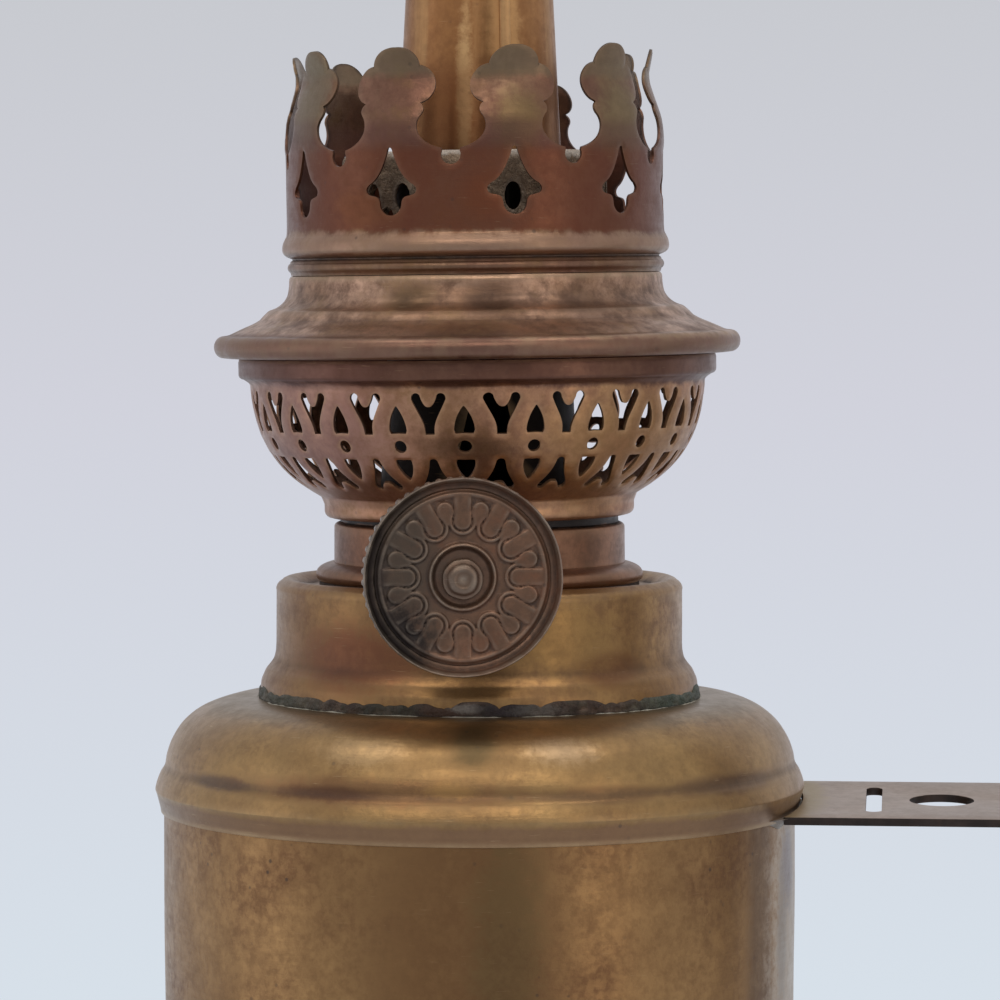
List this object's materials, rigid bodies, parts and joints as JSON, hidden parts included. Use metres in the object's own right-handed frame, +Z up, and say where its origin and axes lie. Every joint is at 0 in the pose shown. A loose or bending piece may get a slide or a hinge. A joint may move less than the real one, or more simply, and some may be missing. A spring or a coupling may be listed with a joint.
{
  "type": "wall oil lamp",
  "caption": "Wall oil lamp: cylindrical brass reservoir on a flat strap with a wall plate, round wick burner with side knob, pierced air basket and fleuron crown gallery.",
  "frame": {"origin": "on the back of the wall plate, in its middle across, level with the middle of the strap", "axes": "+Z up, +Y into the wall, so the lamp stands out towards -Y; +X to the right of a person who faces the wall"},
  "size_m": [0.082, 0.146, 0.1764],
  "materials": {
    "font_brass": "aged, stained and freckled",
    "collar_brass": "aged, stained",
    "dark_solder": "blackened solder with green verdigris",
    "grey_solder": "dull smeared solder",
    "strap_metal": "dull, grey brown",
    "burner_brass": "aged, reddish",
    "washer_leather": "dark, oily",
    "inner_brass": "dull",
    "tube_brass": "aged, streaked by heat",
    "spindle_metal": "dull, worn",
    "knob_bronze": "dark, worn bright on the milled edge",
    "wick_cotton": "woven cotton",
    "basket_brass": "coppery, freckled",
    "cover_brass": "grey brown, dull sheen",
    "crown_brass": "heat reddened",
    "deflector_metal": "grey oxide, whitish at the top"
  },
  "bodies": {
    "lamp": {"font_body": "font_brass", "font_base": "font_brass", "font_shoulder": "font_brass", "collar": "collar_brass", "collar_thread": "collar_brass", "collar_solder": "dark_solder", "bracket_arm": "strap_metal", "bracket_solder": "grey_solder", "wall_plate": "strap_metal", "bracket_rivets": "strap_metal"},
    "burner": {"screw_ring": "burner_brass", "seal_washer": "washer_leather", "burner_neck": "burner_brass", "base_plate": "inner_brass", "neck_plate": "inner_brass", "wick_tube": "tube_brass", "air_tube": "inner_brass", "air_cheeks": "inner_brass", "air_floor": "inner_brass", "bearing_bracket": "inner_brass", "spindle_gland": "burner_brass"},
    "winder": {"spindle": "spindle_metal", "wick_wheels": "inner_brass", "knob_hub": "knob_bronze", "knob_disc": "knob_bronze", "knob_rim": "knob_bronze", "knob_button": "knob_bronze"},
    "wick": {"wick": "wick_cotton"},
    "gallery": {"air_basket": "basket_brass", "gallery_cover": "cover_brass", "crown": "crown_brass", "chimney_ring": "cover_brass", "air_deflector": "deflector_metal"}
  },
  "joints": [
    {"name": "burner_lift", "type": "slide", "parent": "lamp", "child": "burner", "axis": [0, 0, 1], "range_m": [0, 0.085]},
    {"name": "gallery_lift", "type": "slide", "parent": "burner", "child": "gallery", "axis": [0, 0, 1], "range_m": [0, 0.075]},
    {"name": "winder_turn", "type": "hinge", "parent": "burner", "child": "winder", "pos_m": [0.00105, -0.1104, 0.0308], "axis": [0.9816, 0.1908, 0], "range_deg": [-114, 57]},
    {"name": "wick_feed", "type": "slide", "parent": "burner", "child": "wick", "axis": [0, 0, 1], "range_m": [-0.004, 0.008]}
  ],
  "couplings": [
    {"joint": "wick_feed", "follows": "winder_turn", "m_per_rad": -0.004}
  ]
}
